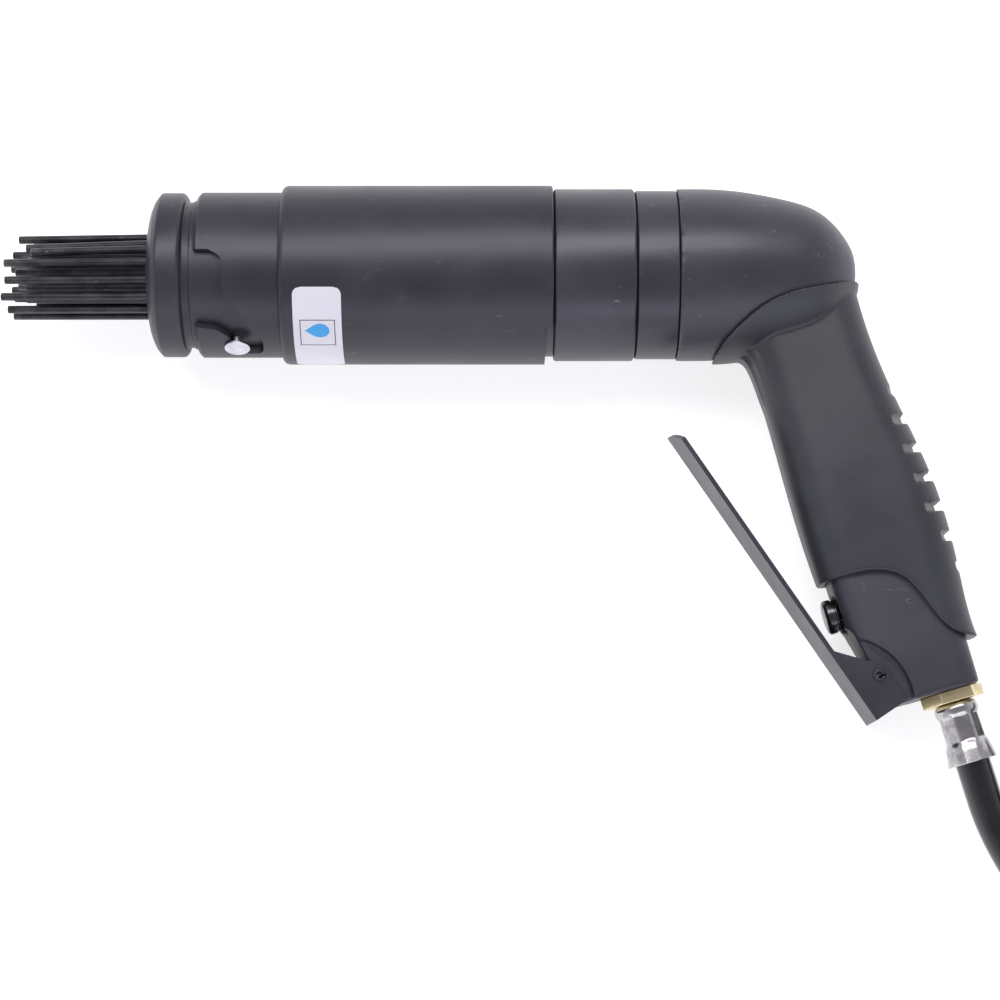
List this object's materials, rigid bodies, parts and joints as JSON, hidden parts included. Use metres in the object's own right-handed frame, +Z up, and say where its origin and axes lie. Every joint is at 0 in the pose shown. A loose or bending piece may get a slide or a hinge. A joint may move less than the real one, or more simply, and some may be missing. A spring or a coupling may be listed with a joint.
{
  "type": "pneumatic needle scaler",
  "caption": "Pistol-grip pneumatic needle scaler with sliding steel needles, bayonet nose, squeeze lever and air hose with coupling plug.",
  "frame": {"origin": "centre of the tool's footprint on the surface it lies on, without the hose", "axes": "+X along the barrel away from the needles, +Y away from the handle end, +Z up, out of the side of the tool"},
  "size_m": [0.5585, 0.3134, 0.0679],
  "materials": {
    "blackened_steel": "blackened, satin",
    "needle_steel": "drawn wire, dark",
    "bright_steel": "turned",
    "hard_steel": "ground",
    "spring_steel": "oiled",
    "anodised_ring": "dark anodised, satin",
    "body_casting": "dark coated casting, satin",
    "grip_rubber": "matt moulded",
    "seal_rubber": "matt",
    "label_film": "printed film",
    "brass": "machined",
    "nickel": "plated, satin",
    "hose_skin": "smooth, glossy"
  },
  "bodies": {
    "body": {"bayonet_housing": "blackened_steel", "cylinder": "hard_steel", "body_sleeve": "blackened_steel", "oil_label": "label_film", "body_o_rings": "seal_rubber", "rear_ring": "anodised_ring", "valve_seat": "hard_steel", "lock_ring": "anodised_ring", "pistol_body": "body_casting", "grip_cover": "grip_rubber", "valve_plug": "brass", "lever_pin": "spring_steel", "throttle_bush": "brass", "throttle_spring": "spring_steel", "inlet_nipple": "brass", "hose_ferrule": "nickel", "hose_lead": "hose_skin", "hose_coil": "hose_skin", "hose_tail": "hose_skin", "plug_ferrule": "nickel", "hose_plug": "nickel"},
    "spring_seat": {"spring_seat": "hard_steel", "needle_spring": "spring_steel"},
    "nose": {"front_tube": "blackened_steel", "bayonet_pins": "bright_steel"},
    "needle_holder": {"needle_holder": "hard_steel"},
    "anvil": {"anvil": "hard_steel"},
    "piston": {"piston": "hard_steel"},
    "valve_disc": {"valve_disc": "hard_steel"},
    "lever": {"throttle_lever": "blackened_steel"},
    "button": {"throttle_button": "hard_steel"},
    "poppet": {"throttle_poppet": "brass"},
    "needle_01": {"needle_01": "needle_steel"},
    "needle_02": {"needle_02": "needle_steel"},
    "needle_03": {"needle_03": "needle_steel"},
    "needle_04": {"needle_04": "needle_steel"},
    "needle_05": {"needle_05": "needle_steel"},
    "needle_06": {"needle_06": "needle_steel"},
    "needle_07": {"needle_07": "needle_steel"},
    "needle_08": {"needle_08": "needle_steel"},
    "needle_09": {"needle_09": "needle_steel"},
    "needle_10": {"needle_10": "needle_steel"},
    "needle_11": {"needle_11": "needle_steel"},
    "needle_12": {"needle_12": "needle_steel"},
    "needle_13": {"needle_13": "needle_steel"},
    "needle_14": {"needle_14": "needle_steel"},
    "needle_15": {"needle_15": "needle_steel"},
    "needle_16": {"needle_16": "needle_steel"},
    "needle_17": {"needle_17": "needle_steel"},
    "needle_18": {"needle_18": "needle_steel"},
    "needle_19": {"needle_19": "needle_steel"},
    "needle_20": {"needle_20": "needle_steel"},
    "needle_21": {"needle_21": "needle_steel"},
    "needle_22": {"needle_22": "needle_steel"},
    "needle_23": {"needle_23": "needle_steel"},
    "needle_24": {"needle_24": "needle_steel"},
    "needle_25": {"needle_25": "needle_steel"},
    "needle_26": {"needle_26": "needle_steel"},
    "needle_27": {"needle_27": "needle_steel"},
    "needle_28": {"needle_28": "needle_steel"}
  },
  "joints": [
    {"name": "lever_hinge", "type": "hinge", "parent": "body", "child": "lever", "pos_m": [0.14086, -0.07647, 0.01595], "axis": [0, 0.1175, -0.9931], "range_deg": [0, 14], "stiffness_Nm_per_rad": 2.5, "springref_deg": -11.46},
    {"name": "throttle_button_slide", "type": "slide", "parent": "body", "child": "button", "axis": [0.9608, 0.2754, 0.0326], "range_m": [0, 0.00145]},
    {"name": "throttle_poppet_slide", "type": "slide", "parent": "body", "child": "poppet", "axis": [0.9608, 0.2754, 0.0326], "range_m": [0, 0.00145], "deforming": ["throttle_spring"]},
    {"name": "nose_push", "type": "slide", "parent": "body", "child": "spring_seat", "axis": [1, 0, 0], "range_m": [0, 0.0034], "stiffness_N_per_m": 6000, "springref_m": -0.012, "deforming": ["needle_spring"]},
    {"name": "nose_turn", "type": "hinge", "parent": "spring_seat", "child": "nose", "pos_m": [-0.09644, 0.07606, 0.034], "axis": [-1, 0, 0], "range_deg": [-7, 10]},
    {"name": "needle_holder_slide", "type": "slide", "parent": "body", "child": "needle_holder", "axis": [-1, 0, 0], "range_m": [0, 0.005], "stiffness_N_per_m": 6000, "springref_m": -0.012, "deforming": ["needle_spring"]},
    {"name": "anvil_slide", "type": "slide", "parent": "body", "child": "anvil", "axis": [-1, 0, 0], "range_m": [0, 0.0022]},
    {"name": "piston_slide", "type": "slide", "parent": "body", "child": "piston", "axis": [1, 0, 0], "range_m": [0, 0.015]},
    {"name": "valve_disc_slide", "type": "slide", "parent": "body", "child": "valve_disc", "axis": [1, 0, 0], "range_m": [0, 0.0014]},
    {"name": "needle_01_slide", "type": "slide", "parent": "needle_holder", "child": "needle_01", "axis": [-1, -0.0059, -0.0074], "range_m": [-0.01, 0.0023]},
    {"name": "needle_02_slide", "type": "slide", "parent": "needle_holder", "child": "needle_02", "axis": [-0.9999, -0.0089, -0.008], "range_m": [-0.0104, 0.0019]},
    {"name": "needle_03_slide", "type": "slide", "parent": "needle_holder", "child": "needle_03", "axis": [-0.9997, -0.024, -0.0086], "range_m": [-0.0009, 0.0114]},
    {"name": "needle_04_slide", "type": "slide", "parent": "needle_holder", "child": "needle_04", "axis": [-0.9992, -0.0402, -0.0083], "range_m": [-0.0036, 0.0087]},
    {"name": "needle_05_slide", "type": "slide", "parent": "needle_holder", "child": "needle_05", "axis": [-0.9999, -0.0155, -0.0023], "range_m": [-0.0074, 0.0049]},
    {"name": "needle_06_slide", "type": "slide", "parent": "needle_holder", "child": "needle_06", "axis": [-0.9999, -0.0154, 0.0008], "range_m": [-0.0029, 0.0094]},
    {"name": "needle_07_slide", "type": "slide", "parent": "needle_holder", "child": "needle_07", "axis": [-0.9999, -0.014, 0.0035], "range_m": [-0.0089, 0.0034]},
    {"name": "needle_08_slide", "type": "slide", "parent": "needle_holder", "child": "needle_08", "axis": [-0.9999, -0.0115, 0.0054], "range_m": [-0.0054, 0.0069]},
    {"name": "needle_09_slide", "type": "slide", "parent": "needle_holder", "child": "needle_09", "axis": [-0.9999, -0.0084, 0.006], "range_m": [-0.0109, 0.0014]},
    {"name": "needle_10_slide", "type": "slide", "parent": "needle_holder", "child": "needle_10", "axis": [-1, -0.0054, 0.0052], "range_m": [-0.0024, 0.0099]},
    {"name": "needle_11_slide", "type": "slide", "parent": "needle_holder", "child": "needle_11", "axis": [-1, -0.0031, 0.0031], "range_m": [-0.0079, 0.0044]},
    {"name": "needle_12_slide", "type": "slide", "parent": "needle_holder", "child": "needle_12", "axis": [-1, -0.0018, 0.0003], "range_m": [-0.0089, 0.0034]},
    {"name": "needle_13_slide", "type": "slide", "parent": "needle_holder", "child": "needle_13", "axis": [-1, -0.0019, -0.0028], "range_m": [-0.01, 0.0023]},
    {"name": "needle_14_slide", "type": "slide", "parent": "needle_holder", "child": "needle_14", "axis": [-1, -0.0034, -0.0056], "range_m": [-0.0118, 0.0005]},
    {"name": "needle_15_slide", "type": "slide", "parent": "needle_holder", "child": "needle_15", "axis": [-0.9999, -0.0079, -0.008], "range_m": [-0.007, 0.0053]},
    {"name": "needle_16_slide", "type": "slide", "parent": "needle_holder", "child": "needle_16", "axis": [-0.9999, -0.0125, -0.0069], "range_m": [-0.0044, 0.0079]},
    {"name": "needle_17_slide", "type": "slide", "parent": "needle_holder", "child": "needle_17", "axis": [-0.9999, -0.0154, -0.003], "range_m": [-0.0094, 0.0029]},
    {"name": "needle_18_slide", "type": "slide", "parent": "needle_holder", "child": "needle_18", "axis": [-0.9999, -0.0151, 0.0018], "range_m": [-0.0019, 0.0104]},
    {"name": "needle_19_slide", "type": "slide", "parent": "needle_holder", "child": "needle_19", "axis": [-0.9999, -0.0118, 0.0052], "range_m": [-0.0064, 0.0059]},
    {"name": "needle_20_slide", "type": "slide", "parent": "needle_holder", "child": "needle_20", "axis": [-1, -0.007, 0.0058], "range_m": [-0.0112, 0.0011]},
    {"name": "needle_21_slide", "type": "slide", "parent": "needle_holder", "child": "needle_21", "axis": [-1, -0.0031, 0.0031], "range_m": [-0.0049, 0.0074]},
    {"name": "needle_22_slide", "type": "slide", "parent": "needle_holder", "child": "needle_22", "axis": [-1, -0.0017, -0.0014], "range_m": [-0.0084, 0.0039]},
    {"name": "needle_23_slide", "type": "slide", "parent": "needle_holder", "child": "needle_23", "axis": [-1, -0.0036, -0.0058], "range_m": [-0.0034, 0.0089]},
    {"name": "needle_24_slide", "type": "slide", "parent": "needle_holder", "child": "needle_24", "axis": [-0.9999, -0.0102, -0.0078], "range_m": [-0.0059, 0.0064]},
    {"name": "needle_25_slide", "type": "slide", "parent": "needle_holder", "child": "needle_25", "axis": [-0.9999, -0.0156, -0.0017], "range_m": [-0.0102, 0.0021]},
    {"name": "needle_26_slide", "type": "slide", "parent": "needle_holder", "child": "needle_26", "axis": [-0.9999, -0.0115, 0.0054], "range_m": [-0.0038, 0.0085]},
    {"name": "needle_27_slide", "type": "slide", "parent": "needle_holder", "child": "needle_27", "axis": [-1, -0.0034, 0.0036], "range_m": [-0.0076, 0.0047]},
    {"name": "needle_28_slide", "type": "slide", "parent": "needle_holder", "child": "needle_28", "axis": [-1, -0.0026, -0.0046], "range_m": [-0.0022, 0.0101]}
  ],
  "couplings": [
    {"joint": "throttle_button_slide", "follows": "lever_hinge", "m_per_rad": 0.005525},
    {"joint": "throttle_poppet_slide", "follows": "lever_hinge", "m_per_rad": 0.005525}
  ]
}
